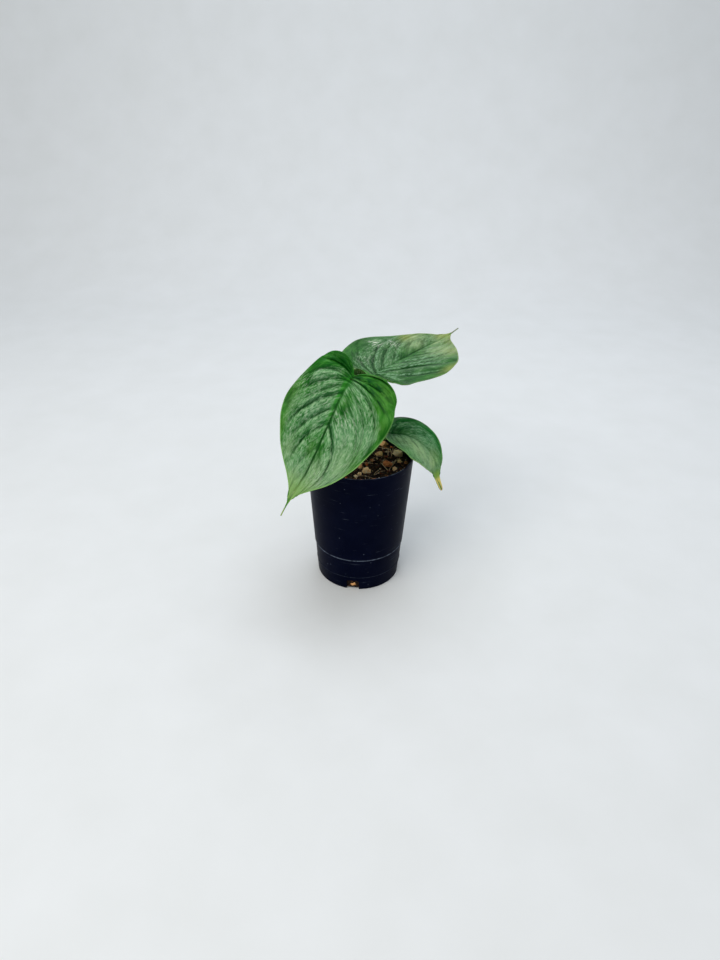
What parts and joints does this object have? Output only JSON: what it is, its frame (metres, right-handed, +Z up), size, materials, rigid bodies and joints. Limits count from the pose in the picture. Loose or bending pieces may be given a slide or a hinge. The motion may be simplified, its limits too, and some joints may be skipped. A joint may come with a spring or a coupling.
{
  "type": "potted philodendron hybrid",
  "caption": "Young philodendron hybrid with hanging heart-shaped silvery leaves, rooted in a tall black nursery pot of bark and pumice mix.",
  "frame": {"origin": "middle of the pot's flat foot, on the surface that the pot stands on", "axes": "+Z up along the pot's axis, the large hanging leaf towards -Y, the rear leaf's tip towards +X and +Y"},
  "size_m": [0.1666, 0.2054, 0.2333],
  "materials": {
    "pot": "thin injection-moulded polypropylene, black with a slight sheen and faint scuffs",
    "potting_mix": "moist dark mix with pieces of bark and pale pumice standing out of it",
    "roots": "pale tan living roots",
    "stem": "smooth green stem with brownish rings at its nodes",
    "wrap_leaf": "smooth pale green sheath",
    "petiole": "smooth round leaf stalk, slightly paler than the blade",
    "blade": "soft-sheen leaf, silver grey-green between sunken dark green veins, bright green lobes and margin",
    "blade_young": "soft-sheen younger leaf, mid green with a silver cast and a dried yellow tip"
  },
  "bodies": {
    "root": {"pot": "pot", "potting_mix": "potting_mix", "roots": "roots", "stem": "stem", "wrap_leaf": "wrap_leaf", "petiole_front": "petiole", "petiole_rear": "petiole", "petiole_right": "petiole", "blade_front": "blade", "blade_rear": "blade", "blade_right": "blade_young"}
  },
  "joints": []
}
